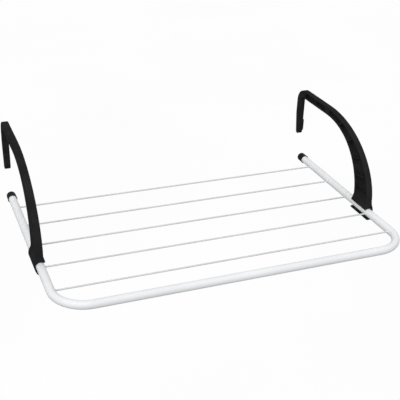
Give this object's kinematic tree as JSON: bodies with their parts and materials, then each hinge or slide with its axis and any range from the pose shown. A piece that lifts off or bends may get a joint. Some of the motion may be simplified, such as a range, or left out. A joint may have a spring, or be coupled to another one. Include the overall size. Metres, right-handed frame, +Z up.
{
  "type": "folding hook-on drying rack",
  "caption": "Hook-on clothes drying rack: a bent steel tube carrying drying wires, with moulded arms that clip round its side tubes, hook over a rail and fold flat.",
  "frame": {"origin": "midway between the two hooks, where the plane their bars hang by meets the front faces of their legs", "axes": "+X to the right as the user faces the rack, +Y away from the user towards the rail or wall, +Z up"},
  "size_m": [0.5252, 0.3588, 0.1296],
  "materials": {
    "tube_enamel": "white powder coat, semi-gloss",
    "wire_enamel": "white powder coat, semi-gloss",
    "arm_plastic": "black moulded polypropylene, fine grain",
    "cap_plastic": "black soft polyethylene, smooth",
    "pad_rubber": "matt black"
  },
  "bodies": {
    "rack": {"frame_tube": "tube_enamel", "wire_1": "wire_enamel", "wire_2": "wire_enamel", "wire_3": "wire_enamel", "wire_4": "wire_enamel", "wire_5": "wire_enamel", "left_end_cap": "cap_plastic", "right_end_cap": "cap_plastic"},
    "left_hook": {"left_arm": "arm_plastic", "left_grip_pad": "pad_rubber"},
    "right_hook": {"right_arm": "arm_plastic", "right_grip_pad": "pad_rubber"}
  },
  "joints": [
    {"name": "left_arm_fold", "type": "hinge", "parent": "rack", "child": "left_hook", "pos_m": [-0.254, -0.213, -0.108], "axis": [0, 1, 0], "range_deg": [-34, 85]},
    {"name": "right_arm_fold", "type": "hinge", "parent": "rack", "child": "right_hook", "pos_m": [0.254, -0.213, -0.108], "axis": [0, -1, 0], "range_deg": [-34, 85]}
  ]
}
